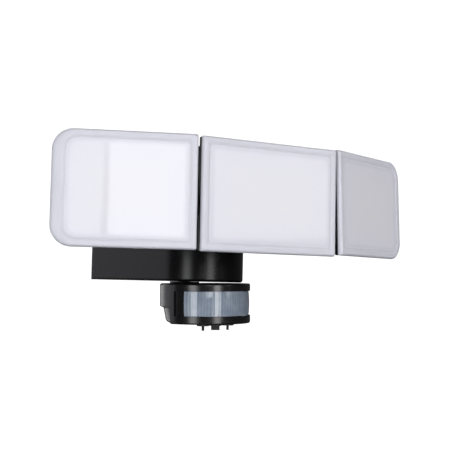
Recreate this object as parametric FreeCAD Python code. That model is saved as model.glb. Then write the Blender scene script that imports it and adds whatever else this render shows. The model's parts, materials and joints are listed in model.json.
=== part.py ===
"""Wall-mounted LED floodlight: three opal heads in a bow on a flared base, with a motion sensor below.

Millimetres. The origin is the middle of the face that lies on the wall. The front faces -Y, up is +Z
and +X is to the right of someone who faces the light. Each head is drawn in its own frame: x along
its width, y from the front of its diffuser towards its back, z up from mid-height.
"""
import FreeCAD, Part
import math
import os

vec = FreeCAD.Vector
X_AXIS = vec(1, 0, 0)
Y_AXIS = vec(0, 1, 0)
Z_AXIS = vec(0, 0, 1)

# ---- driving dimensions -------------------------------------------------------------------------
RUN = 0.05                # radial clearance of a turning pin in its hole
GAP = 0.3                 # side clearance between parts that move past each other

# heads
HEAD_H = 91.4
CENTRE_W = 132.5
SIDE_W = 113.7
BOW = 21.8                # each side head is turned outwards by this angle
FRONT_Y = -220.5          # front of the centre diffuser
HEAD_Z = 9.0              # mid-height of the heads
SIDE_X = CENTRE_W / 2 + 3.3   # inner front edge of a side head
OUTER_R = 17.0            # corner radius at the outer end of a side head
INNER_R = 1.5             # corner radius elsewhere
TIP_UP = {"left": 1.6, "centre": 0.5, "right": 2.5}   # how far each head faces up at rest
DIFFUSER_D = 4.0
DIFFUSER_FACE_T = 2.0
DIFFUSER_LIP_W = 3.0
GASKET_D = 0.8
RIM_BACK = 6.8            # depth where the cast rim ends and the taper starts
CAST_INSET = 0.5          # the cast tray is this much smaller than the diffuser all round
TAPER_IN = 17.5           # how far the tray's back is drawn in
BACK_D = 24.0             # depth of the tray's flat back
TRAY_WALL = 3.0
CAST_WALL = 2.5
FIN_TOP_D = 30.0
FIN_T = 2.0
FIN_PITCH = 8.0
FIRST_FIN_X = 18.0        # leaves the middle of the back free for the lugs
BOARD_T = 1.6
BOARD_SCREW_R = 1.5
REFLECTOR_OUT = 4.6       # the reflector's outside at its front, in from the head's outline
REFLECTOR_T = 1.2
LED_SIZE = 5.0
LED_T = 0.9
LED_PITCH = 9.0

# tilt knuckles and pan posts
PIVOT_D = 40.0            # depth of the tilt axis behind the diffuser's front
PAN_D = 60.0              # depth of a side head's pan axis
KNUCKLE_R = 7.0
TONGUE_T = 9.0
LUG_T = 5.2
TILT_PIN_R = 3.0
POST_R = 8.0
POST_H = 16.0
FORK_T = 4.0
PAN_PIN_R = 2.5
BEAM_W = 12.0
BEAM_H = 14.0
ARM_ROOT_Y = -92.0        # middle of an arm's flange on the side of the base
ARM_FLANGE_HALF_W = 13.0
ARM_FLANGE_HALF_H = 20.0
ARM_SCREW_RISE = 13.0
NECK_FLANGE_R = 18.0
NECK_SCREW_RISE = 12.0

# base
NOSE_R = 40.6
NOSE_Y = -101.0           # centre of the round nose
WALL_HALF_W = 62.8
BASE_HALF_H = 60.0
BASE_WALL = 3.0
BASE_ROUND = 2.5
GASKET_T = 5.0
GASKET_W = 7.0
PLATE_T = 3.0
PLATE_FRONT = -(GASKET_T + PLATE_T)
PLATE_INSET = BASE_WALL + 0.4
HOUSING_SCREWS = [(sx * 44.0, sz * 44.0) for sx in (-1, 1) for sz in (-1, 1)]
HOUSING_SCREW_R = 1.6
HOUSING_BOSS_R = 4.5
HOUSING_BOSS_D = 26.0
CROSSBAR_SCREWS = [(-30.0, 0.0), (30.0, 0.0)]
BAR_LENGTH = 99.0
BAR_H = 18.0
BAR_T = 2.0
BOX_SPACING = 88.9        # screws of a round junction box
BOX_HOLE_R = 2.4
GROMMET_R = 8.0
GROMMET_Z = -28.0
SCREW_R = 2.0
SCREW_HEAD_R = 3.8

# sensor
DRUM_Y = -114.0
DRUM_R = 40.8
DRUM_TOP = -61.3
DRUM_BOTTOM = -96.7
DRUM_WALL = 2.2
DRUM_ROUND = 1.5
LENS_TOP = -68.0
LENS_BOTTOM = -89.6
LENS_HALF_ANGLE = 57.6
LENS_R = 40.0
LENS_FIT = 0.15
REAR_BAND_BOTTOM = -81.6  # the rear cover steps in below this height
REAR_LOW_R = 37.6
REAR_BOTTOM_R = 35.9      # the rear cover draws in to this radius towards its lower edge
REAR_FOOT_R = 5.0         # round of the rear cover's lower edge
STEP_H = 1.5
PARTING_Y = -122.0        # plane where the front shell meets the rear cover
SENSOR_BOARD_Y = -124.0
SENSOR_SCREWS = [(-25.0, -66.0), (25.0, -66.0)]
SWIVEL_Y = -74.7
SWIVEL_R = 13.9
NOTCH_R = 16.4            # room for the swivel in the rear cover
SWIVEL_SHAFT_R = 6.0
HINGE_Z = -74.0
SENSOR_LEAN = -1.4        # the sensor hangs this far out of level, about the hinge's middle
SWIVEL_GAP = 0.1
SWIVEL_FLANGE_T = 2.2
SWIVEL_SHAFT_TOP = -48.0
RECESS_HALF_ANGLE = 72.0  # the lens's recess runs on past it to here
RECESS_R = 39.4
HINGE_PIN_R = 2.0
HINGE_R = 7.5
TONGUE_R = 6.5            # round lower end of the swivel's tongue
DIAL_PITCH = 12.7
DIAL_Y = -132.3
DIAL_R = 5.5
DIAL_DISC_T = 1.7
DIAL_FIN = (7.6, 2.3, 3.9)
DIAL_STEM_R = 2.2
DIAL_TURN = {"time": 58.8, "range": -31.2, "light": 58.8}   # direction of each dial's fin at rest


# ---- shared shapes ------------------------------------------------------------------------------
def box(x0, x1, y0, y1, z0, z1):
    return Part.makeBox(x1 - x0, y1 - y0, z1 - z0, vec(x0, y0, z0))


def rod(radius, start, end):
    """A cylinder between two points."""
    return Part.makeCylinder(radius, (end - start).Length, start, end - start)


def ring(outer, inner, start, end):
    """A washer, bush or tube between two points."""
    return rod(outer, start, end).cut(rod(inner, start, end))


def group(solids):
    return Part.makeCompound(solids)


def save(name, shape):
    shape.exportStep("parts/" + name + ".step")


def rounded_wire(half_w, half_h, left_r, right_r, y):
    """A rectangle in the plane at depth y, with one corner radius at each end."""
    corners = ((-1, -1, left_r), (1, -1, right_r), (1, 1, right_r), (-1, 1, left_r))
    arcs = []
    for sx, sz, r in corners:
        cx = sx * (half_w - r)
        cz = sz * (half_h - r)
        on_side = vec(cx + sx * r, y, cz)
        on_level = vec(cx, y, cz + sz * r)
        middle = vec(cx + sx * r * math.sqrt(0.5), y, cz + sz * r * math.sqrt(0.5))
        ends = (on_side, on_level) if sx * sz > 0 else (on_level, on_side)
        arcs.append((ends[0], middle, ends[1]))
    edges = []
    for this, following in zip(arcs, arcs[1:] + arcs[:1]):
        edges.append(Part.Arc(*this).toShape())
        edges.append(Part.LineSegment(this[2], following[0]).toShape())
    return Part.Wire(edges)


def screw(head_point, tip_point, shank_r, head_r, head_t):
    """A pan-head screw: the head stands out behind head_point, the shank runs to tip_point."""
    along = (tip_point - head_point).normalize()
    head = rod(head_r, head_point - along * head_t, head_point)
    slot_depth = head_t * 0.5
    driver = rod(head_r * 0.35, head_point - along * head_t, head_point - along * (head_t - slot_depth))
    return head.cut(driver).fuse(rod(shank_r, head_point, tip_point))


def nut(radius, hole_r, start, end):
    """A hexagonal nut on the axis from start to end."""
    along = (end - start)
    side = vec(0, 0, 1) if abs(along.z) < abs(along.x) + abs(along.y) else vec(1, 0, 0)
    across = along.cross(side).normalize()
    points = []
    for k in range(6):
        angle = math.radians(60 * k)
        points.append(start + side * (radius * math.cos(angle)) + across * (radius * math.sin(angle)))
    hexagon = Part.Face(Part.makePolygon(points + points[:1])).extrude(along)
    return hexagon.cut(rod(hole_r, start - along, end + along))


# ---- heads --------------------------------------------------------------------------------------
def head_outline(side, width, inset, depth):
    """A head's outline at a depth, drawn in by inset. Only a side head's outer end is well rounded."""
    left_r = OUTER_R if side == "left" else INNER_R
    right_r = OUTER_R if side == "right" else INNER_R
    return rounded_wire(width / 2 - inset, HEAD_H / 2 - inset, max(left_r - inset, INNER_R),
                        max(right_r - inset, INNER_R), depth)


def head_prism(side, width, inset, front, back):
    return Part.Face(head_outline(side, width, inset, front)).extrude(vec(0, back - front, 0))


def head_taper(side, width, front_inset, front, back_inset, back):
    wires = [head_outline(side, width, front_inset, front), head_outline(side, width, back_inset, back)]
    return Part.makeLoft(wires, True, True)


def make_diffuser(side, width):
    """An opal cap: a 2 mm face with a lip that stands on the gasket."""
    cap = head_prism(side, width, 0, 0, DIFFUSER_D)
    front_edges = [e for e in cap.Edges if max(v.Point.y for v in e.Vertexes) < 0.01]
    cap = cap.makeFillet(1.0, front_edges)
    return cap.cut(head_prism(side, width, DIFFUSER_LIP_W, DIFFUSER_FACE_T, DIFFUSER_D))


def make_head_gasket(side, width):
    back = DIFFUSER_D + GASKET_D
    outer = head_prism(side, width, CAST_INSET + 0.3, DIFFUSER_D, back)
    return outer.cut(head_prism(side, width, DIFFUSER_LIP_W, DIFFUSER_D, back))


def make_tray(side, width):
    """The cast tray: rim, tapered walls, flat back with fins, and two lugs for the tilt pin."""
    rim_front = DIFFUSER_D + GASKET_D
    floor = BACK_D - CAST_WALL
    tray = head_prism(side, width, CAST_INSET, rim_front, RIM_BACK)
    tray = tray.fuse(head_taper(side, width, CAST_INSET, RIM_BACK, TAPER_IN, BACK_D))
    hollow = head_prism(side, width, CAST_INSET + TRAY_WALL, rim_front, RIM_BACK)
    hollow = hollow.fuse(head_taper(side, width, CAST_INSET + TRAY_WALL, RIM_BACK, TAPER_IN + TRAY_WALL, floor))
    tray = tray.cut(hollow)
    half_h = HEAD_H / 2 - TAPER_IN
    fin_profile = [vec(0, BACK_D - 0.5, -half_h + 1), vec(0, BACK_D, -half_h + 1),
                   vec(0, FIN_TOP_D, -half_h + 6), vec(0, FIN_TOP_D, half_h - 6),
                   vec(0, BACK_D, half_h - 1), vec(0, BACK_D - 0.5, half_h - 1)]
    fin_face = Part.Face(Part.makePolygon(fin_profile + fin_profile[:1]))
    count = int((width / 2 - TAPER_IN - FIN_T - FIRST_FIN_X) / FIN_PITCH) + 1
    lug_in = TONGUE_T / 2 + GAP
    for sign in (-1, 1):
        for k in range(count):
            x = sign * (FIRST_FIN_X + k * FIN_PITCH)
            fin = fin_face.extrude(vec(FIN_T, 0, 0))
            fin.translate(vec(x - FIN_T / 2, 0, 0))
            tray = tray.fuse(fin)
        x0, x1 = sorted((sign * lug_in, sign * (lug_in + LUG_T)))
        lug = box(x0, x1, BACK_D - 0.5, PIVOT_D, -KNUCKLE_R, KNUCKLE_R)
        lug = lug.fuse(rod(KNUCKLE_R, vec(x0, PIVOT_D, 0), vec(x1, PIVOT_D, 0)))
        tray = tray.fuse(lug)
    hole = rod(TILT_PIN_R + RUN, vec(-width, PIVOT_D, 0), vec(width, PIVOT_D, 0))
    tray = tray.cut(hole)
    for x, z in board_screw_places(width):
        tray = tray.cut(rod(BOARD_SCREW_R + RUN, vec(x, floor - 1, z), vec(x, floor + 2.0, z)))
    return tray.removeSplitter()


def board_screw_places(width):
    x = width / 2 - TAPER_IN - 8.0
    z = HEAD_H / 2 - TAPER_IN - 7.5
    return [(sx * x, sz * z) for sx in (-1, 1) for sz in (-1, 1)]


def make_reflector(side, width):
    """A thin white tray that lines the tapered walls and stands on the LED board."""
    front = DIFFUSER_D + GASKET_D + 0.4
    back = BACK_D - CAST_WALL - BOARD_T
    back_out = TAPER_IN + TRAY_WALL + 0.4
    outer = head_taper(side, width, REFLECTOR_OUT, front, back_out, back)
    return outer.cut(head_taper(side, width, REFLECTOR_OUT + REFLECTOR_T, front, back_out + REFLECTOR_T, back))


def make_board(width):
    floor = BACK_D - CAST_WALL
    half_w = width / 2 - TAPER_IN - 3.6
    half_h = HEAD_H / 2 - TAPER_IN - 3.6
    board = box(-half_w, half_w, floor - BOARD_T, floor, -half_h, half_h)
    for x, z in board_screw_places(width):
        board = board.cut(rod(BOARD_SCREW_R + RUN, vec(x, 0, z), vec(x, BACK_D, z)))
    return board


def make_leds(width):
    """A grid of surface-mount LEDs, clear of the board's screws."""
    front = BACK_D - CAST_WALL - BOARD_T - LED_T
    half = LED_SIZE / 2
    columns = int((width / 2 - TAPER_IN - 14.0) / LED_PITCH)
    rows = 2
    leds = []
    for i in range(-columns, columns + 1):
        for j in range(-rows, rows + 1):
            x = i * LED_PITCH
            z = j * LED_PITCH
            if abs(i) == columns and abs(j) == rows:
                continue
            leds.append(box(x - half, x + half, front, front + LED_T, z - half, z + half))
    return group(leds)


def make_board_screws(width):
    face = BACK_D - CAST_WALL - BOARD_T
    return group([screw(vec(x, face, z), vec(x, face + BOARD_T + 1.8, z), BOARD_SCREW_R, 2.7, 1.4)
                  for x, z in board_screw_places(width)])


def make_tilt_bolt():
    """A bolt through both lugs and the tongue, with its hexagon head on one side."""
    reach = TONGUE_T / 2 + GAP + LUG_T
    shank = rod(TILT_PIN_R, vec(-reach, PIVOT_D, 0), vec(reach + 5.0, PIVOT_D, 0))
    head = nut(5.2, 0.5, vec(-reach - 3.5, PIVOT_D, 0), vec(-reach, PIVOT_D, 0))
    return shank.fuse(head)


def make_tilt_nut():
    reach = TONGUE_T / 2 + GAP + LUG_T
    return nut(5.2, TILT_PIN_R, vec(reach, PIVOT_D, 0), vec(reach + 4.0, PIVOT_D, 0))


def place_head(shape, side, width, tipped=True):
    """Move a shape from a head's own frame to its place, tipped up about the tilt axis if it tilts."""
    placed = shape.copy()
    if tipped:
        placed.rotate(vec(0, PIVOT_D, 0), X_AXIS, -TIP_UP[side])
    if side == "centre":
        placed.translate(vec(0, FRONT_Y, HEAD_Z))
        return placed
    turn = BOW if side == "right" else -BOW
    sign = 1 if side == "right" else -1
    out = vec(math.cos(math.radians(BOW)) * sign, math.sin(math.radians(BOW)), 0)
    placed.rotate(vec(0, 0, 0), Z_AXIS, turn)
    placed.translate(vec(sign * SIDE_X, FRONT_Y, HEAD_Z) + out * (width / 2))
    return placed


def make_head(side, width):
    pieces = {
        "diffuser": make_diffuser(side, width),
        "head_gasket": make_head_gasket(side, width),
        "cast_tray": make_tray(side, width),
        "reflector": make_reflector(side, width),
        "led_board": make_board(width),
        "leds": make_leds(width),
        "board_screws": make_board_screws(width),
        "tilt_bolt": make_tilt_bolt(),
        "tilt_nut": make_tilt_nut(),
    }
    for name, shape in pieces.items():
        save(side + "_" + name, place_head(shape, side, width))


# ---- pan links, arms and neck -------------------------------------------------------------------
def make_tongue(back):
    """The flat tongue that sits between a head's lugs."""
    half = TONGUE_T / 2
    tongue = box(-half, half, PIVOT_D, back, -KNUCKLE_R, KNUCKLE_R)
    return tongue.fuse(rod(KNUCKLE_R, vec(-half, PIVOT_D, 0), vec(half, PIVOT_D, 0)))


def tilt_hole():
    return rod(TILT_PIN_R + RUN, vec(-50, PIVOT_D, 0), vec(50, PIVOT_D, 0))


def make_pan_link():
    """A tongue for the head in front, and a fork round the arm's post behind."""
    fork_in = POST_H / 2 + GAP
    fork_out = fork_in + FORK_T
    bridge_back = PAN_D - POST_R - 0.4
    bridge_front = bridge_back - 4.0
    half_w = POST_R + 1.0
    link = make_tongue(bridge_front + 1.0)
    link = link.fuse(box(-half_w, half_w, bridge_front, bridge_back, -fork_out, fork_out))
    for z0, z1 in ((fork_in, fork_out), (-fork_out, -fork_in)):
        link = link.fuse(box(-half_w, half_w, bridge_front, PAN_D, z0, z1))
        link = link.fuse(rod(half_w, vec(0, PAN_D, z0), vec(0, PAN_D, z1)))
    link = link.cut(tilt_hole())
    return link.cut(rod(PAN_PIN_R + RUN, vec(0, PAN_D, -30), vec(0, PAN_D, 30))).removeSplitter()


def make_pan_pin():
    """A pin down through the fork and the post, with a domed head above."""
    top = POST_H / 2 + GAP + FORK_T
    return screw(vec(0, PAN_D, top), vec(0, PAN_D, -top - 3.5), PAN_PIN_R, 4.6, 2.6)


def make_pan_nut():
    bottom = -(POST_H / 2 + GAP + FORK_T)
    return nut(4.6, PAN_PIN_R, vec(0, PAN_D, bottom - 3.0), vec(0, PAN_D, bottom))


def base_outline(inset, wall_y, z):
    """The base seen from above: a round nose whose tangent sides flare to the wall."""
    radius = NOSE_R - inset
    foot = vec(WALL_HALF_W - inset, wall_y, z)
    centre = vec(0, NOSE_Y, z)
    to_foot = foot - centre
    tangent_angle = math.atan2(to_foot.y, to_foot.x) - math.acos(radius / to_foot.Length)
    touch = centre + vec(math.cos(tangent_angle), math.sin(tangent_angle), 0) * radius
    left_touch = vec(-touch.x, touch.y, z)
    left_foot = vec(-foot.x, foot.y, z)
    nose = Part.Arc(left_touch, vec(0, NOSE_Y - radius, z), touch).toShape()
    return Part.Wire([nose, Part.LineSegment(touch, foot).toShape(),
                      Part.LineSegment(foot, left_foot).toShape(),
                      Part.LineSegment(left_foot, left_touch).toShape()])


def base_block(inset, wall_y):
    half_h = BASE_HALF_H - inset
    return Part.Face(base_outline(inset, wall_y, -half_h)).extrude(vec(0, 0, 2 * half_h))


def post_point(side):
    """Where a side head's pan axis crosses the heads' mid-height."""
    return place_head(Part.Vertex(0, PAN_D, 0), side, SIDE_W, tipped=False).Point


def arm_root(side):
    """The middle of an arm's flange, on the flared side of the base, and the way that side faces."""
    sign = 1 if side == "right" else -1
    edge = base_outline(0, 0, HEAD_Z).Edges[1]
    touch, foot = edge.Vertexes[0].Point, edge.Vertexes[1].Point
    share = (ARM_ROOT_Y - touch.y) / (foot.y - touch.y)
    point = touch + (foot - touch) * share
    along = (foot - touch).normalize()
    outward = vec(along.y, -along.x, 0)
    return vec(sign * point.x, point.y, HEAD_Z), vec(sign * outward.x, outward.y, 0)


def arm_screw_points(side):
    root, outward = arm_root(side)
    return [(root + vec(0, 0, dz), outward) for dz in (-ARM_SCREW_RISE, ARM_SCREW_RISE)]


def make_arm(side, keep_out):
    """A cast arm: a flange on the base, a beam forward and outward, and a round post at its end."""
    root, outward = arm_root(side)
    post = post_point(side)
    beam_dir = post - root
    length = beam_dir.Length
    beam = box(-BEAM_W / 2, BEAM_W / 2, -6.0, length, -BEAM_H / 2, BEAM_H / 2)
    beam.rotate(vec(0, 0, 0), Z_AXIS, math.degrees(math.atan2(beam_dir.y, beam_dir.x)) - 90)
    beam.translate(root)
    flange = box(-ARM_FLANGE_HALF_W, ARM_FLANGE_HALF_W, -6.0, 5.0, -ARM_FLANGE_HALF_H, ARM_FLANGE_HALF_H)
    flange.rotate(vec(0, 0, 0), Z_AXIS, math.degrees(math.atan2(outward.y, outward.x)) - 90)
    flange.translate(root)
    half = vec(0, 0, POST_H / 2)
    arm = beam.fuse(flange).fuse(rod(POST_R, post - half, post + half)).cut(keep_out)
    arm = arm.cut(rod(PAN_PIN_R + RUN, post - half * 2, post + half * 2))
    for point, way in arm_screw_points(side):
        arm = arm.cut(rod(SCREW_R, point - way, point + way * 4.0))
    return arm.removeSplitter()


def neck_screw_points():
    nose = vec(0, NOSE_Y - NOSE_R, HEAD_Z)
    return [(nose + vec(0, 0, dz), vec(0, -1, 0)) for dz in (-NECK_SCREW_RISE, NECK_SCREW_RISE)]


def make_neck(keep_out):
    """The centre head's neck: a round flange on the nose, a stem and the tongue."""
    nose_y = NOSE_Y - NOSE_R
    neck = make_tongue(PIVOT_D + 12.0)
    neck.translate(vec(0, FRONT_Y, HEAD_Z))
    stem_front = FRONT_Y + PIVOT_D + KNUCKLE_R + 3.0
    neck = neck.fuse(box(-8, 8, stem_front, nose_y + 4, HEAD_Z - 9, HEAD_Z + 9))
    neck = neck.fuse(rod(NECK_FLANGE_R, vec(0, nose_y - 6, HEAD_Z), vec(0, nose_y + 10, HEAD_Z)))
    hole = tilt_hole()
    hole.translate(vec(0, FRONT_Y, HEAD_Z))
    neck = neck.cut(hole).cut(keep_out)
    for point, way in neck_screw_points():
        neck = neck.cut(rod(SCREW_R, point - way, point + way * 4.0))
    return neck.removeSplitter()


def make_arm_screws():
    """Screws from inside the base into both arms and the neck."""
    screws = []
    for point, way in arm_screw_points("left") + arm_screw_points("right") + neck_screw_points():
        inside = point - way * BASE_WALL
        screws.append(screw(inside, point + way * 3.5, SCREW_R, SCREW_HEAD_R, 2.4))
    return group(screws)


# ---- base ---------------------------------------------------------------------------------------
def make_base_outer():
    """The base's block, rounded along its upper and lower edges but not at the wall."""
    block = base_block(0, -GASKET_T)
    edges = []
    for edge in block.Edges:
        first, last = (v.Point for v in edge.Vertexes)
        level = abs(first.z - last.z) < 0.001
        at_wall = min(first.y, last.y) > -GASKET_T - 0.01
        if level and not at_wall:
            edges.append(edge)
    return block.makeFillet(BASE_ROUND, edges)


def make_base_housing(outer):
    """The cast cover: open at the back, with screw bosses inside and a hole for each thing it carries."""
    housing = outer.cut(base_block(BASE_WALL, 0))
    inner = base_block(BASE_WALL - 0.01, -GASKET_T)
    for x, z in HOUSING_SCREWS:
        boss_front = PLATE_FRONT - HOUSING_BOSS_D
        boss = rod(HOUSING_BOSS_R, vec(x, boss_front, z), vec(x, PLATE_FRONT, z))
        x0, x1 = sorted((x, math.copysign(WALL_HALF_W, x)))
        z0, z1 = sorted((z, math.copysign(BASE_HALF_H, z)))
        web = box(x0, x1, boss_front, PLATE_FRONT, z - 1.5, z + 1.5)
        post = box(x - 1.5, x + 1.5, boss_front, PLATE_FRONT, z0, z1)
        housing = housing.fuse(boss.fuse(web).fuse(post).common(inner))
        housing = housing.cut(rod(HOUSING_SCREW_R, vec(x, PLATE_FRONT - 14, z), vec(x, 0, z)))
    for point, way in arm_screw_points("left") + arm_screw_points("right") + neck_screw_points():
        housing = housing.cut(rod(SCREW_R + 0.02, point - way * 12, point + way * 2))
        housing = housing.cut(rod(SCREW_HEAD_R + 0.2, point - way * 12, point - way * BASE_WALL))
    bottom = vec(0, SWIVEL_Y, -BASE_HALF_H)
    housing = housing.fuse(rod(14, bottom + vec(0, 0, 1), bottom + vec(0, 0, BASE_WALL + 2)))
    housing = housing.cut(rod(9.0, bottom - vec(0, 0, 1), bottom + vec(0, 0, 10)))
    return housing.removeSplitter()


def make_swivel_bush():
    """A plain bush in the base's floor that the sensor's shaft turns in."""
    low = vec(0, SWIVEL_Y, -BASE_HALF_H)
    high = low + vec(0, 0, BASE_WALL + 2)
    bush = rod(9.0, low, high).fuse(rod(11.0, high, high + vec(0, 0, 1.2)))
    return bush.cut(rod(SWIVEL_SHAFT_R + RUN, low, high + vec(0, 0, 2)))


def make_back_plate():
    half_h = BASE_HALF_H - PLATE_INSET
    half_w = WALL_HALF_W - PLATE_INSET - 1.6
    plate = box(-half_w, half_w, PLATE_FRONT, -GASKET_T, -half_h, half_h)
    for x, z in HOUSING_SCREWS:
        plate = plate.cut(rod(HOUSING_SCREW_R, vec(x, PLATE_FRONT, z), vec(x, 0, z)))
    for x, z in CROSSBAR_SCREWS:
        plate = plate.cut(rod(SCREW_R, vec(x, PLATE_FRONT, z), vec(x, 0, z)))
    for sx in (-1, 1):
        x = sx * BOX_SPACING / 2
        plate = plate.cut(rod(5.0, vec(x, PLATE_FRONT, 0), vec(x, 0, 0)))
    return plate.cut(rod(GROMMET_R + 3, vec(0, PLATE_FRONT, GROMMET_Z), vec(0, 0, GROMMET_Z)))


def make_wall_gasket():
    """A foam ring that seals the base against the wall."""
    gasket = box(-WALL_HALF_W, WALL_HALF_W, -GASKET_T, 0, -BASE_HALF_H, BASE_HALF_H)
    inner_w = WALL_HALF_W - GASKET_W
    inner_h = BASE_HALF_H - GASKET_W
    return gasket.cut(box(-inner_w, inner_w, -GASKET_T, 0, -inner_h, inner_h))


def make_crossbar():
    """The bar that is screwed to a junction box and carries the light."""
    bar = box(-BAR_LENGTH / 2, BAR_LENGTH / 2, -BAR_T, 0, -BAR_H / 2, BAR_H / 2)
    for sx in (-1, 1):
        x = sx * BOX_SPACING / 2
        bar = bar.cut(rod(BOX_HOLE_R, vec(x, -BAR_T, 0), vec(x, 0, 0)))
    for x, z in CROSSBAR_SCREWS:
        stud = ring(SCREW_R + 2, SCREW_R, vec(x, -GASKET_T, z), vec(x, -BAR_T, z))
        bar = bar.fuse(stud).cut(rod(SCREW_R, vec(x, -GASKET_T, z), vec(x, 0, z)))
    return bar.removeSplitter()


def make_grommet():
    """A rubber grommet in the back plate for the supply wires."""
    plate_back = -GASKET_T
    rim = 1.5
    body = rod(GROMMET_R + 3, vec(0, PLATE_FRONT, GROMMET_Z), vec(0, plate_back, GROMMET_Z))
    for y in (PLATE_FRONT - rim, plate_back):
        body = body.fuse(rod(GROMMET_R + 5, vec(0, y, GROMMET_Z), vec(0, y + rim, GROMMET_Z)))
    return body.cut(rod(GROMMET_R, vec(0, PLATE_FRONT - 5, GROMMET_Z), vec(0, 0, GROMMET_Z)))


def make_driver():
    """The LED driver: a potted block with two fixing ears, on the back plate."""
    back = PLATE_FRONT
    driver = box(-21, 21, back - 38, back, 8, 50)
    for x in (-26, 26):
        ear = box(x - 5.5, x + 5.5, back - 3, back, 24, 34)
        driver = driver.fuse(ear)
    return driver.removeSplitter()


def make_terminal_block():
    block = box(-16, 16, PLATE_FRONT - 14, PLATE_FRONT, -12, 4)
    for x in (-10, 0, 10):
        block = block.cut(rod(2.2, vec(x, PLATE_FRONT - 15, -4), vec(x, PLATE_FRONT - 9, -4)))
        block = block.cut(box(x - 2.5, x + 2.5, PLATE_FRONT - 10, PLATE_FRONT - 5, -12.5, -7))
    return block


def make_base():
    solid = base_block(0, -GASKET_T)
    save("base_housing", make_base_housing(make_base_outer()))
    save("swivel_bush", make_swivel_bush())
    save("back_plate", make_back_plate())
    save("wall_gasket", make_wall_gasket())
    save("wall_crossbar", make_crossbar())
    save("wire_grommet", make_grommet())
    save("led_driver", make_driver())
    save("terminal_block", make_terminal_block())
    housing_screws = [screw(vec(x, -GASKET_T, z), vec(x, PLATE_FRONT - 10, z), HOUSING_SCREW_R, 3.6, 2.2)
                      for x, z in HOUSING_SCREWS]
    save("housing_screws", group(housing_screws))
    crossbar_screws = [screw(vec(x, PLATE_FRONT, z), vec(x, -0.3, z), SCREW_R, SCREW_HEAD_R, 2.4)
                       for x, z in CROSSBAR_SCREWS]
    save("crossbar_screws", group(crossbar_screws))
    save("centre_neck", make_neck(solid))
    save("arm_screws", make_arm_screws())
    for side in ("left", "right"):
        save(side + "_arm", make_arm(side, solid))
        save(side + "_pan_link", place_head(make_pan_link(), side, SIDE_W, tipped=False))
        save(side + "_pan_pin", place_head(make_pan_pin(), side, SIDE_W, tipped=False))
        save(side + "_pan_nut", place_head(make_pan_nut(), side, SIDE_W, tipped=False))


# ---- sensor -------------------------------------------------------------------------------------
def turned(profile, start_angle, sweep):
    """A profile of (radius, z) points and arcs, turned about the drum's axis from start_angle.

    Angles are in degrees from +X. An item of three points is an arc, an item of two a line.
    """
    edges = []
    for item in profile:
        points = [vec(r, 0, z) for r, z in item]
        edges.append(Part.Arc(*points).toShape() if len(points) == 3 else Part.LineSegment(*points).toShape())
    solid = Part.Face(Part.Wire(edges)).revolve(vec(0, 0, 0), Z_AXIS, sweep)
    solid.rotate(vec(0, 0, 0), Z_AXIS, start_angle)
    solid.translate(vec(0, DRUM_Y, 0))
    return solid


def drum_profile(inset, stepped):
    """Half a drum's section from axis to rim. The stepped one draws in below its upper band."""
    top = DRUM_TOP - inset
    bottom = DRUM_BOTTOM + inset
    rim = DRUM_R - inset
    low = (REAR_BOTTOM_R if stepped else DRUM_R) - inset
    small = max(DRUM_ROUND - inset, 0.2)
    foot = max((REAR_FOOT_R if stepped else DRUM_ROUND) - inset, 0.2)
    k = math.sqrt(0.5)
    items = [
        [(0, top), (rim - small, top)],
        [(rim - small, top), (rim - small + small * k, top - small + small * k), (rim, top - small)],
    ]
    if stepped:
        step = (REAR_LOW_R - inset, REAR_BAND_BOTTOM - STEP_H)
        items.append([(rim, top - small), (rim, REAR_BAND_BOTTOM)])
        items.append([(rim, REAR_BAND_BOTTOM), step])
        items.append([step, (low, bottom + foot)])
    else:
        items.append([(rim, top - small), (rim, bottom + foot)])
    items.append([(low, bottom + foot), (low - foot + foot * k, bottom + foot - foot * k),
                  (low - foot, bottom)])
    items.append([(low - foot, bottom), (0, bottom)])
    items.append([(0, bottom), (0, top)])
    return items


def lean(shape):
    """The sensor and all it carries hang a little out of level."""
    shape.rotate(vec(0, SWIVEL_Y, HINGE_Z), Y_AXIS, SENSOR_LEAN)
    return shape


def segment(outer, inner, low, high, half_angle):
    """A curved plate about the drum's axis, centred on the front."""
    section = [[(inner, low), (outer, low)], [(outer, low), (outer, high)],
               [(outer, high), (inner, high)], [(inner, high), (inner, low)]]
    return turned(section, -90 - half_angle, 2 * half_angle)


def dial_places():
    return {"time": vec(-DIAL_PITCH, DIAL_Y, DRUM_BOTTOM), "range": vec(0, DIAL_Y, DRUM_BOTTOM),
            "light": vec(DIAL_PITCH, DIAL_Y, DRUM_BOTTOM)}


def make_sensor_front():
    """The front half of the drum, with a window for the lens and three holes for the dials."""
    front = box(-DRUM_R - 1, DRUM_R + 1, DRUM_Y - DRUM_R - 1, PARTING_Y, DRUM_BOTTOM - 1, DRUM_TOP + 1)
    outer = turned(drum_profile(0, False), 0, 360).common(front)
    shell = outer.cut(turned(drum_profile(DRUM_WALL, False), 0, 360))
    low, high = LENS_BOTTOM - LENS_FIT, LENS_TOP + LENS_FIT
    shell = shell.cut(segment(DRUM_R + 5, DRUM_R - 10, low, high, LENS_HALF_ANGLE + 2 * LENS_FIT))
    shell = shell.cut(segment(DRUM_R + 5, RECESS_R, low, high, RECESS_HALF_ANGLE))
    for place in dial_places().values():
        shell = shell.cut(rod(DIAL_STEM_R + 0.1, place - Z_AXIS, place + Z_AXIS * (DRUM_WALL + 1)))
    for x, z in SENSOR_SCREWS:
        shell = shell.fuse(rod(3.2, vec(x, PARTING_Y - 10, z), vec(x, PARTING_Y, z)).common(outer))
        shell = shell.cut(rod(1.3, vec(x, PARTING_Y - 8, z), vec(x, PARTING_Y, z)))
    return shell.removeSplitter()


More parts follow.
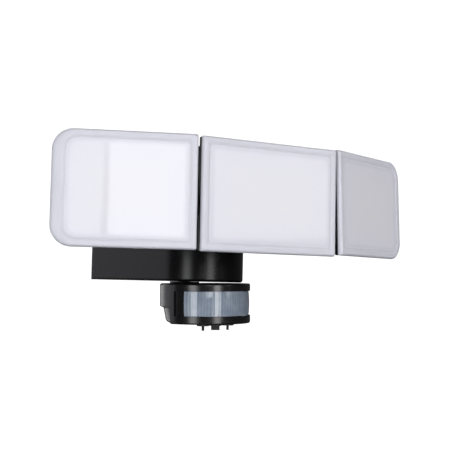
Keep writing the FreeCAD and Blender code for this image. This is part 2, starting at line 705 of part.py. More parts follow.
def make_sensor_rear():
    """The rear half: stepped in below its upper band, with a notch and two ears for the hinge."""
    rear = box(-DRUM_R - 1, DRUM_R + 1, PARTING_Y, DRUM_Y + DRUM_R + 1, DRUM_BOTTOM - 1, DRUM_TOP + 1)
    outer = turned(drum_profile(0, True), 0, 360).common(rear)
    inner = turned(drum_profile(DRUM_WALL, True), 0, 360)
    notch_low, notch_high = vec(0, SWIVEL_Y, DRUM_BOTTOM - 1), vec(0, SWIVEL_Y, DRUM_TOP + 1)
    shell = outer.cut(inner.cut(rod(NOTCH_R + DRUM_WALL, notch_low, notch_high)))
    shell = shell.cut(rod(NOTCH_R, notch_low, notch_high))
    half = TONGUE_T / 2 + GAP
    for sign in (-1, 1):
        x0, x1 = sorted((sign * half, sign * (half + LUG_T)))
        ear = box(x0, x1, SWIVEL_Y - NOTCH_R - 1.5, SWIVEL_Y, HINGE_Z - HINGE_R, HINGE_Z + HINGE_R)
        shell = shell.fuse(ear.fuse(rod(HINGE_R, vec(x0, SWIVEL_Y, HINGE_Z), vec(x1, SWIVEL_Y, HINGE_Z))))
    shell = shell.cut(rod(HINGE_PIN_R + RUN, vec(-30, SWIVEL_Y, HINGE_Z), vec(30, SWIVEL_Y, HINGE_Z)))
    for x, z in SENSOR_SCREWS:
        shell = shell.fuse(rod(3.8, vec(x, PARTING_Y, z), vec(x, DRUM_Y + 31, z)).common(outer))
        shell = shell.cut(rod(3.0, vec(x, PARTING_Y + 4, z), vec(x, DRUM_Y + 50, z)))
        shell = shell.cut(rod(1.4, vec(x, PARTING_Y, z), vec(x, PARTING_Y + 5, z)))
    return shell


def make_swivel():
    """The swivel: a shaft up into the base, a round flange and a tongue down to the hinge."""
    flange_top = -BASE_HALF_H - SWIVEL_GAP
    flange_bottom = flange_top - SWIVEL_FLANGE_T
    half = TONGUE_T / 2
    at = vec(0, SWIVEL_Y, 0)
    swivel = rod(SWIVEL_R, at + Z_AXIS * flange_bottom, at + Z_AXIS * flange_top)
    swivel = swivel.fuse(rod(SWIVEL_SHAFT_R, at + Z_AXIS * flange_bottom, at + Z_AXIS * SWIVEL_SHAFT_TOP))
    tongue = box(-half, half, SWIVEL_Y - TONGUE_R, SWIVEL_Y + TONGUE_R, HINGE_Z, flange_bottom + 0.5)
    tongue = tongue.fuse(rod(TONGUE_R, vec(-half, SWIVEL_Y, HINGE_Z), vec(half, SWIVEL_Y, HINGE_Z)))
    hole = rod(HINGE_PIN_R + RUN, vec(-30, SWIVEL_Y, HINGE_Z), vec(30, SWIVEL_Y, HINGE_Z))
    return swivel.fuse(lean(tongue)).cut(lean(hole)).removeSplitter()


def make_swivel_retainer():
    """A ring on the shaft above the bush, which keeps the swivel in the base."""
    low = vec(0, SWIVEL_Y, -BASE_HALF_H + BASE_WALL + 3.2 + GAP)
    return ring(9.5, SWIVEL_SHAFT_R, low, low + Z_AXIS * 2.5)


def make_lens():
    face = segment(LENS_R, LENS_R - 2.2, LENS_BOTTOM, LENS_TOP, LENS_HALF_ANGLE)
    flange = segment(LENS_R - 1.6, LENS_R - 3.0, LENS_BOTTOM - 2.4, LENS_TOP + 2.2, LENS_HALF_ANGLE + 4)
    return face.fuse(flange).removeSplitter()


def make_potentiometers():
    pots = []
    for place in dial_places().values():
        low = place.z + DRUM_WALL
        pot = box(place.x - 4.5, place.x + 4.5, place.y - 4.5, place.y + 4.5, low, low + 5.0)
        stem_hole = rod(DIAL_STEM_R + RUN, place, vec(place.x, place.y, low + 3.8))
        pots.append(pot.cut(stem_hole))
    return group(pots)


def make_dial(name):
    """A dial: a knurled disc under the drum, a fin to turn it by and a stem into its potentiometer."""
    place = dial_places()[name]
    top = place - Z_AXIS * 0.25
    low = top - Z_AXIS * DIAL_DISC_T
    length, thickness, height = DIAL_FIN
    disc = rod(DIAL_R, low, top)
    for k in range(12):
        angle = math.radians(30 * k)
        flute = low + vec(math.cos(angle), math.sin(angle), 0) * (DIAL_R + 0.35)
        disc = disc.cut(rod(0.7, flute - Z_AXIS, flute + Z_AXIS * 3))
    fin = box(-length / 2, length / 2, -thickness / 2, thickness / 2, -height, 0)
    fin.rotate(vec(0, 0, 0), Z_AXIS, DIAL_TURN[name])
    fin.translate(low)
    stem = rod(DIAL_STEM_R, low, place + Z_AXIS * (DRUM_WALL + 3.4))
    return disc.fuse(fin).fuse(stem).removeSplitter()


def make_sensor():
    save("sensor_front_shell", lean(make_sensor_front()))
    save("sensor_rear_cover", lean(make_sensor_rear()))
    save("swivel_neck", make_swivel())
    save("swivel_retainer", make_swivel_retainer())
    save("fresnel_lens", lean(make_lens()))
    save("sensor_board", lean(box(-21, 21, SENSOR_BOARD_Y, SENSOR_BOARD_Y + 1.6, -88, -68)))
    save("pir_sensor", lean(rod(4.6, vec(0, SENSOR_BOARD_Y, -78), vec(0, SENSOR_BOARD_Y - 4.2, -78))))
    save("potentiometers", lean(make_potentiometers()))
    save("sensor_screws", lean(group([screw(vec(x, PARTING_Y + 4, z), vec(x, PARTING_Y - 7, z), 1.3, 2.6, 1.8)
                                      for x, z in SENSOR_SCREWS])))
    reach = TONGUE_T / 2 + GAP + LUG_T
    save("sensor_hinge_pin", lean(rod(HINGE_PIN_R, vec(-reach, SWIVEL_Y, HINGE_Z),
                                      vec(reach, SWIVEL_Y, HINGE_Z))))
    for name in DIAL_TURN:
        save(name + "_dial", lean(make_dial(name)))


os.makedirs("parts", exist_ok=True)
make_head("centre", CENTRE_W)
make_head("left", SIDE_W)
make_head("right", SIDE_W)
make_base()
make_sensor()
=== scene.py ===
"""Looks for a wall-mounted LED floodlight: three opal heads on a dark bronze base, and a motion sensor.

Metres, in the same frame as the CAD: the wall is at y = 0, the front faces -Y and up is +Z.
"""

import json
import math

import bmesh
import bpy
from mathutils import Matrix, Vector


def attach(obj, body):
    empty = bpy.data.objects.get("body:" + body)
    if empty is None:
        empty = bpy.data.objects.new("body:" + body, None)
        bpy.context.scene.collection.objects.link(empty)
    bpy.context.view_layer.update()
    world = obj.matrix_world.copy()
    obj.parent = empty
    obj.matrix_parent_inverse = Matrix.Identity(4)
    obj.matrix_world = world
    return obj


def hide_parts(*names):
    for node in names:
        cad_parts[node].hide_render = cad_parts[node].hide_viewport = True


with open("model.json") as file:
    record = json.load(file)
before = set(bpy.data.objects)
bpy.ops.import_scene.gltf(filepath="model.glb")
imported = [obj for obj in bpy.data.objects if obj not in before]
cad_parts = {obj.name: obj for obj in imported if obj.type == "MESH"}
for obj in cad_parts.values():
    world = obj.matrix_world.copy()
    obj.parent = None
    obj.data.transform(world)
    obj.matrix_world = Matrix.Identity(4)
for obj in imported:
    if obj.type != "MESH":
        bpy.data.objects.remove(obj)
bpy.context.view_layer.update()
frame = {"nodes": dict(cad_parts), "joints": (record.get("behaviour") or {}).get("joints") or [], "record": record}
NODES = frame["nodes"]
JOINTS = {joint["name"]: joint for joint in frame["joints"]}
MM = 0.001

# ---- sizes shared with the CAD ------------------------------------------------------------------
HEAD_H = 91.4 * MM
HEAD_W = {"left": 113.7 * MM, "centre": 132.5 * MM, "right": 113.7 * MM}
TIP_UP = {"left": 1.6, "centre": 0.5, "right": 2.5}
OUTER_R = 17.0 * MM
INNER_R = 1.5 * MM
PIVOT_D = 40.0 * MM
DRUM_Y = -114.0 * MM
LENS_R = 40.0 * MM
LENS_BOTTOM = -89.6 * MM
LENS_TOP = -68.0 * MM
LENS_HALF_ANGLE = math.radians(57.6)

# ---- sizes of the looks -------------------------------------------------------------------------
LENS_FLATS = 30
LENS_BARREL = 0.58 * MM     # how far the lens swells between its lower and upper edge
LENS_SET_IN = 0.62 * MM     # how far its edges stay behind the CAD lens's face
LENS_CREASE = 0.05 * MM     # depth of the line between two flats
POINTS_PER_FLAT = 4
LENS_ROWS = 18
LENS_INNER_SHARE = 0.945    # inner radius as a share of the outer one
CREASE_ANGLE = math.radians(40)     # edges sharper than this stay crisp

# ---- opal tones, from the diffuser's edge to the middle of its field ----------------------------
FIELD_TONE = 0.86           # the shade at which the field's colour is reached; a warmer middle lies above it
BORDER_GLOSS_TONE = 0.78 * FIELD_TONE
FIELD_GLOSS_TONE = 0.96 * FIELD_TONE
BORDER_ROUGHNESS = 0.42
FIELD_ROUGHNESS = 0.035


# ---- node helpers -------------------------------------------------------------------------------
def node(tree, kind, inputs=None, **settings):
    """Add a shader node, set its properties and fill its inputs with values or links."""
    made = tree.nodes.new(kind)
    for key, value in settings.items():
        setattr(made, key, value)
    for key, value in (inputs or {}).items():
        socket = made.inputs[key]
        if isinstance(value, bpy.types.NodeSocket):
            tree.links.new(value, socket)
        else:
            socket.default_value = value
    return made


def new_material(name, **sockets):
    """A Principled material with plain values on its own sockets."""
    made = bpy.data.materials.new(name)
    made.use_nodes = True
    shader = made.node_tree.nodes["Principled BSDF"]
    for key, value in sockets.items():
        shader.inputs[key.replace("_", " ")].default_value = value
    return made, made.node_tree, shader


def noise(tree, scale, detail=3.0, roughness=0.55, stretch=None):
    """Noise over the object's own coordinates, optionally stretched along an axis."""
    place = node(tree, "ShaderNodeTexCoord").outputs["Object"]
    if stretch:
        place = node(tree, "ShaderNodeMapping", {"Vector": place, "Scale": stretch}).outputs["Vector"]
    return node(tree, "ShaderNodeTexNoise", {
        "Vector": place, "Scale": scale, "Detail": detail, "Roughness": roughness}).outputs["Fac"]


def blend_colours(tree, factor, dark, light, low=0.3, high=0.7):
    ramp = node(tree, "ShaderNodeValToRGB", {"Fac": factor})
    ramp.color_ramp.elements[0].position = low
    ramp.color_ramp.elements[0].color = (*dark, 1.0)
    ramp.color_ramp.elements[1].position = high
    ramp.color_ramp.elements[1].color = (*light, 1.0)
    return ramp.outputs["Color"]


def remap(tree, factor, low, high):
    return node(tree, "ShaderNodeMapRange", {
        "Value": factor, "From Min": 0.25, "From Max": 0.75, "To Min": low, "To Max": high}).outputs["Result"]


def bump(tree, height, strength, distance, under=None):
    inputs = {"Height": height, "Strength": strength, "Distance": distance}
    if under:
        inputs["Normal"] = under
    return node(tree, "ShaderNodeBump", inputs).outputs["Normal"]


def textured(name, dark, light, rough, grain, grain_depth, grain_strength=0.5, patch=35.0, **sockets):
    """A material with slow colour patches, a roughness that varies with them, and a fine grain."""
    made, tree, shader = new_material(name, **sockets)
    patches = noise(tree, patch, detail=4.0)
    fine = noise(tree, grain, detail=2.0)
    coarse = bump(tree, patches, 0.15, 0.2 * MM)
    tree.links.new(blend_colours(tree, patches, dark, light), shader.inputs["Base Color"])
    tree.links.new(remap(tree, patches, *rough), shader.inputs["Roughness"])
    tree.links.new(bump(tree, fine, grain_strength, grain_depth, coarse), shader.inputs["Normal"])
    return made


# ---- materials ----------------------------------------------------------------------------------
def make_opal(name):
    """Opal acrylic: a glossy field inside a frosted, greyer border, as the mesh's "tone" says; the tone's low
    values on the edge, the back and in the groove are painted shade.

    The field turns a little warmer towards its middle, where the LED board shows through.
    """
    made, tree, shader = new_material(name, IOR=1.49, Subsurface_Weight=0.2, Subsurface_Scale=0.003)
    shader.inputs["Subsurface Radius"].default_value = (1.0, 1.0, 1.05)
    tone = node(tree, "ShaderNodeAttribute", attribute_name="tone").outputs["Fac"]
    clouds = noise(tree, 9.0, detail=2.0)
    fine = noise(tree, 2500.0, detail=2.0)
    mottle = node(tree, "ShaderNodeMath", {0: clouds, 1: 0.04}, operation="MULTIPLY").outputs[0]
    shade = node(tree, "ShaderNodeMath", {0: tone, 1: mottle}, operation="ADD").outputs[0]
    ramp = node(tree, "ShaderNodeValToRGB", {"Fac": shade})
    border, field = ramp.color_ramp.elements
    warm_middle = ramp.color_ramp.elements.new(1.0)
    border.position, field.position = 0.0, FIELD_TONE
    border.color, field.color = (0.42, 0.45, 0.475, 1.0), (0.87, 0.86, 0.95, 1.0)
    warm_middle.color = (0.88, 0.87, 0.915, 1.0)
    tree.links.new(ramp.outputs["Color"], shader.inputs["Base Color"])
    roughness = node(tree, "ShaderNodeMapRange", {
        "Value": shade, "From Min": BORDER_GLOSS_TONE, "From Max": FIELD_GLOSS_TONE,
        "To Min": BORDER_ROUGHNESS, "To Max": FIELD_ROUGHNESS}).outputs["Result"]
    tree.links.new(roughness, shader.inputs["Roughness"])
    tree.links.new(bump(tree, fine, 0.03, 0.01 * MM), shader.inputs["Normal"])
    return made


def make_lens(name):
    """Milky blue-grey polyethylene: the flats inside show through as faint vertical lines."""
    made, tree, shader = new_material(name, IOR=1.58, Subsurface_Weight=0.25, Subsurface_Scale=0.002)
    shader.inputs["Subsurface Radius"].default_value = (0.9, 1.0, 1.15)
    place = node(tree, "ShaderNodeTexCoord").outputs["Object"]
    parts = node(tree, "ShaderNodeSeparateXYZ", {"Vector": place})
    from_axis = node(tree, "ShaderNodeMath", {0: parts.outputs["Y"], 1: -DRUM_Y}, operation="ADD").outputs[0]
    back = node(tree, "ShaderNodeMath", {0: from_axis, 1: -1.0}, operation="MULTIPLY").outputs[0]
    angle = node(tree, "ShaderNodeMath", {0: parts.outputs["X"], 1: back}, operation="ARCTAN2").outputs[0]
    flat_angle = 2 * LENS_HALF_ANGLE / LENS_FLATS
    bands_per_unit = 20         # the wave node's own factor: sin(20 * scale * x)
    around = node(tree, "ShaderNodeCombineXYZ", {"X": angle, "Y": parts.outputs["Z"]}).outputs[0]
    ribs = node(tree, "ShaderNodeTexWave", {
        "Vector": around, "Scale": 2 * math.pi / (bands_per_unit * flat_angle),
        "Distortion": 0.3, "Detail": 1.0}, wave_type="BANDS", bands_direction="X").outputs["Fac"]
    clouds = noise(tree, 110.0, detail=3.0)
    mixed = node(tree, "ShaderNodeMath", {0: ribs, 1: 0.24}, operation="MULTIPLY").outputs[0]
    total = node(tree, "ShaderNodeMath", {0: mixed, 1: clouds}, operation="ADD").outputs[0]
    colour = blend_colours(tree, total, (0.205, 0.255, 0.325), (0.335, 0.38, 0.455), 0.3, 0.90)
    tree.links.new(colour, shader.inputs["Base Color"])
    tree.links.new(remap(tree, clouds, 0.03, 0.05), shader.inputs["Roughness"])
    tree.links.new(bump(tree, ribs, 0.10, 0.03 * MM), shader.inputs["Normal"])
    return made


def make_foam(name):
    made, tree, shader = new_material(name)
    place = node(tree, "ShaderNodeTexCoord").outputs["Object"]
    cells = node(tree, "ShaderNodeTexVoronoi", {"Vector": place, "Scale": 1400.0}).outputs["Distance"]
    tree.links.new(blend_colours(tree, cells, (0.012, 0.012, 0.013), (0.05, 0.05, 0.052), 0.1, 0.8),
                   shader.inputs["Base Color"])
    tree.links.new(remap(tree, noise(tree, 300.0), 0.8, 0.95), shader.inputs["Roughness"])
    tree.links.new(bump(tree, cells, 0.6, 0.15 * MM), shader.inputs["Normal"])
    return made


def make_brushed(name, dark, light, rough):
    """Plated or drawn metal with fine streaks along X."""
    made, tree, shader = new_material(name, Metallic=1.0)
    streaks = noise(tree, 500.0, detail=4.0, stretch=(0.06, 1.0, 1.0))
    stains = noise(tree, 45.0, detail=4.0)
    total = node(tree, "ShaderNodeMath", {0: streaks, 1: stains}, operation="ADD").outputs[0]
    tree.links.new(blend_colours(tree, total, dark, light, 0.7, 1.3), shader.inputs["Base Color"])
    tree.links.new(remap(tree, streaks, *rough), shader.inputs["Roughness"])
    tree.links.new(bump(tree, streaks, 0.2, 0.05 * MM), shader.inputs["Normal"])
    return made


def make_board(name, mask, trace):
    """Solder mask over copper traces, with a faint orange peel."""
    made, tree, shader = new_material(name, Coat_Weight=0.6, Coat_Roughness=0.12)
    place = node(tree, "ShaderNodeTexCoord").outputs["Object"]
    blocks = node(tree, "ShaderNodeTexBrick", {
        "Vector": place, "Scale": 160.0, "Mortar Size": 0.03, "Color1": (0, 0, 0, 1),
        "Color2": (0.25, 0.25, 0.25, 1), "Mortar": (1, 1, 1, 1)}).outputs["Color"]
    tree.links.new(blend_colours(tree, blocks, mask, trace, 0.2, 1.0), shader.inputs["Base Color"])
    tree.links.new(remap(tree, noise(tree, 200.0), 0.3, 0.42), shader.inputs["Roughness"])
    tree.links.new(bump(tree, blocks, 0.3, 0.05 * MM), shader.inputs["Normal"])
    return made


MATERIALS = {
    "opal_diffuser": make_opal("opal_acrylic"),
    "milky_lens": make_lens("milky_lens"),
    "grey_foam": make_foam("closed_cell_foam"),
    "zinc_plate": make_brushed("zinc_plate", (0.46, 0.45, 0.41), (0.66, 0.65, 0.62), (0.28, 0.42)),
    "steel_screws": make_brushed("plated_screws", (0.42, 0.42, 0.42), (0.62, 0.62, 0.63), (0.25, 0.4)),
    "sensor_can": make_brushed("nickel_can", (0.55, 0.54, 0.5), (0.72, 0.71, 0.68), (0.2, 0.3)),
    "driver_case": make_brushed("drawn_aluminium", (0.5, 0.51, 0.52), (0.68, 0.69, 0.71), (0.3, 0.45)),
    "board_white": make_board("white_solder_mask", (0.78, 0.79, 0.77), (0.66, 0.67, 0.64)),
    "board_green": make_board("green_solder_mask", (0.01, 0.09, 0.035), (0.03, 0.2, 0.09)),
    "bronze_cast": textured("bronze_powder_coat", (0.0030, 0.0028, 0.0032), (0.0052, 0.0048, 0.0052),
                            (0.24, 0.30), 1500.0, 0.05 * MM, 0.08, Specular_IOR_Level=0.27),
    "bronze_plastic": textured("bronze_moulded_plastic", (0.0038, 0.0036, 0.0040), (0.0062, 0.0058, 0.0062),
                               (0.20, 0.26), 2600.0, 0.03 * MM, 0.15),
    "dial_plastic": textured("black_dial_plastic", (0.004, 0.004, 0.0045), (0.008, 0.008, 0.0085),
                             (0.34, 0.46), 2600.0, 0.03 * MM, 0.25),
    "dark_screws": textured("black_oxide", (0.006, 0.006, 0.007), (0.02, 0.02, 0.021),
                            (0.32, 0.5), 1200.0, 0.03 * MM, 0.3, Metallic=0.6),
    "grey_seal": textured("silicone_seal", (0.04, 0.04, 0.042), (0.07, 0.07, 0.072),
                          (0.55, 0.7), 1800.0, 0.04 * MM, 0.3),
    "white_reflector": textured("white_reflector", (0.78, 0.78, 0.78), (0.86, 0.86, 0.86),
                                (0.25, 0.35), 1500.0, 0.02 * MM, 0.1),
    "led_phosphor": textured("led_phosphor", (0.72, 0.5, 0.08), (0.85, 0.66, 0.16),
                             (0.3, 0.45), 1800.0, 0.05 * MM, 0.3, patch=180.0),
    "black_nylon": textured("black_nylon", (0.008, 0.008, 0.008), (0.016, 0.016, 0.016),
                            (0.35, 0.5), 1800.0, 0.03 * MM, 0.3),
    "black_rubber": textured("black_rubber", (0.006, 0.006, 0.006), (0.014, 0.014, 0.014),
                             (0.6, 0.78), 1500.0, 0.06 * MM, 0.4),
    "terminal_plastic": textured("ivory_plastic", (0.55, 0.5, 0.36), (0.65, 0.6, 0.46),
                                 (0.35, 0.5), 1500.0, 0.03 * MM, 0.3),
    "pot_plastic": textured("blue_black_plastic", (0.008, 0.012, 0.028), (0.016, 0.022, 0.045),
                            (0.35, 0.5), 1500.0, 0.03 * MM, 0.3),
}


def smooth_by_angle(mesh, limit):
    """Smooth shading, with edges sharper than the limit left crisp."""
    work = bmesh.new()
    work.from_mesh(mesh)
    for face in work.faces:
        face.smooth = True
    for edge in work.edges:
        edge.smooth = len(edge.link_faces) == 2 and edge.calc_face_angle(0.0) < limit
    work.to_mesh(mesh)
    work.free()


def finish_cad_nodes():
    """Give every carried-over CAD node its slot's material."""
    slots = {part["node"]: part["material_slot"] for part in frame["record"]["subparts"]}
    for name, obj in NODES.items():
        obj.data.materials.clear()
        obj.data.materials.append(MATERIALS[slots[name]])


# ---- mesh helpers -------------------------------------------------------------------------------
def add_object(name, mesh, material):
    obj = bpy.data.objects.new(name, mesh)
    bpy.context.scene.collection.objects.link(obj)
    mesh.materials.append(material)
    return obj


def mesh_from(name, work):
    bmesh.ops.recalc_face_normals(work, faces=work.faces)
    mesh = bpy.data.meshes.new(name)
    work.to_mesh(mesh)
    work.free()
    return mesh


def stack(work, loops):
    """Join closed loops of points into a closed skin, one after another, capped at both ends."""
    rings = [[work.verts.new(point) for point in loop] for loop in loops]
    for this, following in zip(rings, rings[1:]):
        for k in range(len(this)):
            after = (k + 1) % len(this)
            work.faces.new((this[k], this[after], following[after], following[k]))
    work.faces.new(rings[0])
    work.faces.new(rings[-1])
    return rings


# ---- diffusers ----------------------------------------------------------------------------------
CORNER_STEPS = 20
SIDE_STEPS = 12
EDGE_ROUND = 2.2 * MM
END_ROUND = 6.0 * MM
EDGE_DEPTH = 3.3 * MM
BORDER_W = 6.2 * MM
END_BORDER_W = 9.8 * MM
GROOVE_W = 3.0 * MM
GROOVE_DEPTH = 0.40 * MM
FIELD_DEPTH = 0.30 * MM
GAP_INSET = 0.45 * MM       # extra inset at an end that faces another head
FIELD_START = 0.9 * BORDER_W
FIELD_CORNER_R = 3.0 * MM    # smallest corner radius of the rings inside FIELD_START
LIP_IN = 2.6 * MM
LIP_FRONT = 2.3 * MM
CAP_BACK = 3.95 * MM
BACK_EDGE_IN = 0.35 * MM
BACK_EDGE_D = 0.25 * MM
EDGE_IN = 0.1 * MM
EDGE_STEPS = 12
EDGE_FRONT = 0.12 * MM
BORDER_FRONT = 0.10 * MM
BORDER_FLAT_END = 0.6 * MM  # how far before the groove the border's flat part ends
GROOVE_STEPS = 10
FIELD_EDGE_STEP = 1.1 * MM  # four rings that lead from the border's tone to the field's
MIDDLE_STEP = 4.2 * MM      # six rings that lead from the field's tone to the middle's
# The lip, the back edge, the side and the start of the rounded edge get tones below the border's: painted shade
# where the opal turns away or sits behind its front.
PAINTED_LIP_SHADE_TONE = 0.3
PAINTED_BACK_EDGE_SHADE_TONE = 0.2
PAINTED_SIDE_SHADE_TONE = 0.3
PAINTED_EDGE_SHADE_TONE = 0.50
BORDER_TONE = 0.74


def outline(half_w, half_h, shift, left_r, right_r, depth):
    """A rectangle with a corner radius at each end, drawn at a depth, as points at regular shares."""
    points = []
    corners = ((1, 1, right_r, 0), (-1, 1, left_r, 90), (-1, -1, left_r, 180), (1, -1, right_r, 270))
    for index, (sx, sz, r, start) in enumerate(corners):
        for k in range(CORNER_STEPS + 1):
            angle = math.radians(start + 90 * k / CORNER_STEPS)
            points.append(Vector((shift + sx * (half_w - r) + r * math.cos(angle), depth,
                                  sz * (half_h - r) + r * math.sin(angle))))
        nx, nz, nr, _ = corners[(index + 1) % 4]
        along = math.radians(start + 90)
        target = Vector((shift + nx * (half_w - nr) + nr * math.cos(along), depth,
                         nz * (half_h - nr) + nr * math.sin(along)))
        here = points[-1]
        points += [here.lerp(target, k / SIDE_STEPS) for k in range(1, SIDE_STEPS)]
    return points


def diffuser_outline(side, inset, end_inset, depth):
    """The head's outline drawn in by inset, by end_inset at its outer end and a little more beside a gap."""
    left_in = end_inset if side == "left" else inset + GAP_INSET
    right_in = end_inset if side == "right" else inset + GAP_INSET
    half_w = (HEAD_W[side] - left_in - right_in) / 2
    left_r = max(OUTER_R - inset, INNER_R) if side == "left" else INNER_R
    right_r = max(OUTER_R - inset, INNER_R) if side == "right" else INNER_R
    if inset > FIELD_START:
        left_r, right_r = max(left_r, FIELD_CORNER_R), max(right_r, FIELD_CORNER_R)
    return outline(half_w, HEAD_H / 2 - inset, (left_in - right_in) / 2, left_r, right_r, depth)


def diffuser_profile():
    """(inset, inset at the outer end, depth, tone) from the lip at the back, over the edge to the field."""
    profile = [(LIP_IN, LIP_IN, LIP_FRONT, PAINTED_LIP_SHADE_TONE), (LIP_IN, LIP_IN, CAP_BACK, PAINTED_LIP_SHADE_TONE),
               (BACK_EDGE_IN, BACK_EDGE_IN, CAP_BACK, PAINTED_BACK_EDGE_SHADE_TONE),
               (EDGE_IN, EDGE_IN, CAP_BACK - BACK_EDGE_D, PAINTED_SIDE_SHADE_TONE)]
    # Over the rounded edge the tone climbs from the edge's painted shade to the border's tone within the first
    # part of the rounding.
    for k in range(EDGE_STEPS + 1):
        angle = math.radians(90 * k / EDGE_STEPS)
        turn = 1 - math.cos(angle)
        profile.append((EDGE_IN + EDGE_ROUND * turn, EDGE_IN + END_ROUND * turn,
                        EDGE_FRONT + EDGE_DEPTH * (1 - math.sin(angle)),
                        PAINTED_EDGE_SHADE_TONE + (BORDER_TONE - PAINTED_EDGE_SHADE_TONE) * min(1.0, 4.0 * turn)))
    start, end_start = BORDER_W - GROOVE_W / 2, END_BORDER_W - GROOVE_W / 2
    profile.append((start - BORDER_FLAT_END, end_start - BORDER_FLAT_END, BORDER_FRONT, BORDER_TONE))
    # In the groove the tone dips by 0.08 at its bottom: painted shade in the groove.
    for k in range(GROOVE_STEPS + 1):
        share = k / GROOVE_STEPS
        sink = (1 - math.cos(2 * math.pi * share)) / 2
        profile.append((start + GROOVE_W * share, end_start + GROOVE_W * share,
                        BORDER_FRONT + share * FIELD_DEPTH + GROOVE_DEPTH * sink,
                        BORDER_TONE - 0.08 * sink + 0.06 * share))
    front = BORDER_FRONT + FIELD_DEPTH
    for k in range(1, 5):
        reach = BORDER_W + GROOVE_W / 2 + FIELD_EDGE_STEP * k
        end_reach = END_BORDER_W + GROOVE_W / 2 + FIELD_EDGE_STEP * k
        profile.append((reach, end_reach, front, 0.80 + 0.05 * k))
    for k in range(1, 7):
        reach, end_reach = reach + MIDDLE_STEP, end_reach + MIDDLE_STEP
        profile.append((reach, end_reach, front, 1.0 + 0.022 * k))
    return [(inset, end_inset, depth, tone * FIELD_TONE) for inset, end_inset, depth, tone in profile]


def head_matrix(side):
    """From a head's own frame (x along it, y to its back, z up, from its front's middle) to the row's."""
    joint = JOINTS[side + "_tilt"]
    along = Vector(joint["axis"])
    if along.x < 0:
        along = -along
    back = Vector((0, 0, 1)).cross(along)
    axes = Matrix((along, back, Vector((0, 0, 1)))).transposed().to_4x4()
    tip = Matrix.Rotation(math.radians(-TIP_UP[side]), 4, "X")
    return Matrix.Translation(joint["pos_m"]) @ axes @ tip @ Matrix.Translation((0, -PIVOT_D, 0))


def make_diffuser(side):
    work = bmesh.new()
    profile = diffuser_profile()
    rings = stack(work, [diffuser_outline(side, *station[:3]) for station in profile])
    tones = [station[3] for station in profile for _ in rings[0]]
    mesh = mesh_from(side + "_opal_diffuser", work)
    mesh.attributes.new("tone", "FLOAT", "POINT").data.foreach_set("value", tones)
    mesh.transform(head_matrix(side))
    smooth_by_angle(mesh, CREASE_ANGLE)
    obj = add_object(side + "_opal_diffuser", mesh, MATERIALS["opal_diffuser"])
    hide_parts(side + "_diffuser")
    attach(obj, side + "_head")


# ---- Fresnel lens -------------------------------------------------------------------------------
def make_fresnel_lens():
    """A barrel-shaped window of narrow flats, each ending in a fine crease."""
    steps = LENS_FLATS * POINTS_PER_FLAT
    work = bmesh.new()
    outer = []
    for j in range(LENS_ROWS + 1):
        share = j / LENS_ROWS
        z = LENS_BOTTOM + (LENS_TOP - LENS_BOTTOM) * share
        barrel = LENS_BARREL * (1 - (2 * share - 1) ** 2)
        loop = []
        for i in range(steps + 1):
            angle = -LENS_HALF_ANGLE + 2 * LENS_HALF_ANGLE * i / steps
            crease = LENS_CREASE if i % POINTS_PER_FLAT == 0 else 0.0
            radius = LENS_R - LENS_SET_IN + barrel - crease
            loop.append(work.verts.new((radius * math.sin(angle), DRUM_Y - radius * math.cos(angle), z)))
        outer.append(loop)
    inner = []
    for loop in outer:
        inner.append([work.verts.new((v.co.x * LENS_INNER_SHARE,
                                      DRUM_Y + (v.co.y - DRUM_Y) * LENS_INNER_SHARE,
                                      v.co.z)) for v in loop])
    for grid in (outer, inner):
        for this, above in zip(grid, grid[1:]):
            for i in range(steps):
                work.faces.new((this[i], this[i + 1], above[i + 1], above[i]))
    for i in range(steps):
        work.faces.new((outer[0][i], outer[0][i + 1], inner[0][i + 1], inner[0][i]))
        work.faces.new((outer[-1][i], outer[-1][i + 1], inner[-1][i + 1], inner[-1][i]))
    for j in range(LENS_ROWS):
        work.faces.new((outer[j][0], outer[j + 1][0], inner[j + 1][0], inner[j][0]))
        work.faces.new((outer[j][-1], outer[j + 1][-1], inner[j + 1][-1], inner[j][-1]))
    mesh = mesh_from("ribbed_lens", work)
    tilt = JOINTS["sensor_tilt"]
    hinge, along = Vector(tilt["pos_m"]), Vector(tilt["axis"])
    lean = Matrix.Rotation(-math.atan2(along.z, along.x), 4, "Y")
    mesh.transform(Matrix.Translation(hinge) @ lean @ Matrix.Translation(-hinge))
    smooth_by_angle(mesh, CREASE_ANGLE)
    obj = add_object("ribbed_lens", mesh, MATERIALS["milky_lens"])
    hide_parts("fresnel_lens")
    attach(obj, "sensor_head")


# ---- camera, light and floor --------------------------------------------------------------------
CAMERA_PLACE = (-0.4335, -0.8635, -0.0604)
CAMERA_YAW = math.radians(31.2)         # to the right of +Y
CAMERA_PITCH = math.radians(3.41)
CAMERA_ROLL = math.radians(1.30)
CAMERA_LENS = 75.9                      # on a 36 mm sensor


def make_camera():
    yaw, pitch, roll = CAMERA_YAW, CAMERA_PITCH, CAMERA_ROLL
    ahead = Vector((math.sin(yaw) * math.cos(pitch), math.cos(yaw) * math.cos(pitch), math.sin(pitch)))
    right = Vector((math.cos(yaw), -math.sin(yaw), 0))
    up = right.cross(ahead)
    turned_right = right * math.cos(roll) + up * math.sin(roll)
    turned_up = up * math.cos(roll) - right * math.sin(roll)
    data = bpy.data.cameras.new("view")
    data.sensor_width = 36.0
    data.lens = CAMERA_LENS
    obj = bpy.data.objects.new("view", data)
    axes = Matrix((turned_right, turned_up, -ahead)).transposed().to_4x4()
    obj.matrix_world = Matrix.Translation(CAMERA_PLACE) @ axes
    bpy.context.scene.collection.objects.link(obj)
    bpy.context.scene.camera = obj


AIM = Vector((0.0, -0.15, -0.02))       # near the object's middle; every softbox points here
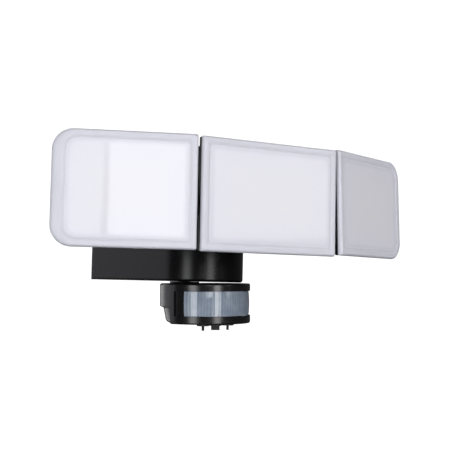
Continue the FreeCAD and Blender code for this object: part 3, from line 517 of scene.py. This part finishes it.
# name: (bearing to the left of the front in degrees, distance, width, height, radiance, colour, rise)
SOFTBOXES = {           # sizes in metres
    "front_strip": (-0.8, 2.2, 0.60, 1.5, 6.1, (1.0, 1.0, 1.0), -0.08),
    "left_strip": (61.0, 2.2, 0.72, 1.5, 5.2, (0.97, 0.98, 1.0), -0.08),
    "left_card": (17.0, 2.6, 0.455, 1.05, 4.4, (0.99, 0.99, 1.0), 0.67),
    "left_edge_card": (25.5, 2.6, 0.30, 1.05, 2.7, (0.95, 0.96, 1.0), 0.67),
    "right_card": (-33.0, 2.6, 0.64, 1.05, 2.1, (0.98, 0.98, 1.0), 0.67),
    "right_fill": (-50.0, 2.4, 1.2, 1.2, 2.4, (1.0, 0.98, 1.0), 1.6),
    "low_card": (20.0, 1.8, 1.6, 0.8, 0.7, (0.97, 0.98, 1.0), -1.3),
    "flank_card": (132.0, 2.2, 1.5, 1.4, 0.78, (0.95, 0.92, 1.0), 0.0),
    "rear_card": (168.0, 2.0, 1.0, 2.2, 1.3, (1.0, 1.0, 1.0), 0.0),
}
WORLD_COLOUR = (0.93, 0.95, 1.0, 1.0)
WORLD_STRENGTH = 0.08
FLOOR_Z = -1.9
FLOOR_HALF = 6.0
BACKDROP_R = 5.5


def make_softbox(name, from_front, distance, width, height, radiance, colour, rise):
    """A rectangular light that points at the middle of the object."""
    bearing = math.radians(from_front)
    place = AIM + Vector((-math.sin(bearing), -math.cos(bearing), 0)) * distance + Vector((0, 0, rise))
    data = bpy.data.lights.new(name, "AREA")
    data.shape = "RECTANGLE"
    data.size = width
    data.size_y = height
    data.energy = radiance * width * height * math.pi
    data.color = colour
    obj = bpy.data.objects.new(name, data)
    obj.location = place
    obj.rotation_euler = (AIM - place).to_track_quat("-Z", "Y").to_euler()
    bpy.context.scene.collection.objects.link(obj)


def make_studio():
    scene = bpy.context.scene
    scene.view_settings.view_transform = "Standard"
    world = bpy.data.worlds.new("studio")
    world.use_nodes = True
    world.node_tree.nodes["Background"].inputs["Color"].default_value = WORLD_COLOUR
    world.node_tree.nodes["Background"].inputs["Strength"].default_value = WORLD_STRENGTH
    scene.world = world
    for name, settings in SOFTBOXES.items():
        make_softbox(name, *settings)

    white = bpy.data.materials.new("white_studio")
    white.use_nodes = True
    shader = white.node_tree.nodes["Principled BSDF"]
    shader.inputs["Base Color"].default_value = (0.9, 0.9, 0.9, 1.0)
    shader.inputs["Roughness"].default_value = 1.0
    shader.inputs["Emission Color"].default_value = (1.0, 1.0, 1.0, 1.0)
    shader.inputs["Emission Strength"].default_value = 1.0
    work = bmesh.new()
    bmesh.ops.create_grid(work, x_segments=2, y_segments=2, size=FLOOR_HALF)
    bmesh.ops.translate(work, verts=work.verts, vec=(0, 0, FLOOR_Z))
    floor = add_object("floor", mesh_from("floor", work), white)
    work = bmesh.new()
    bmesh.ops.create_uvsphere(work, u_segments=48, v_segments=24, radius=BACKDROP_R)
    dome = add_object("backdrop", mesh_from("backdrop", work), white)
    for obj in (floor, dome):
        obj.visible_diffuse = False
        obj.visible_glossy = False
        obj.visible_transmission = False
        obj.visible_shadow = False


make_camera()
finish_cad_nodes()
for head in ("left", "centre", "right"):
    make_diffuser(head)
make_fresnel_lens()
make_studio()
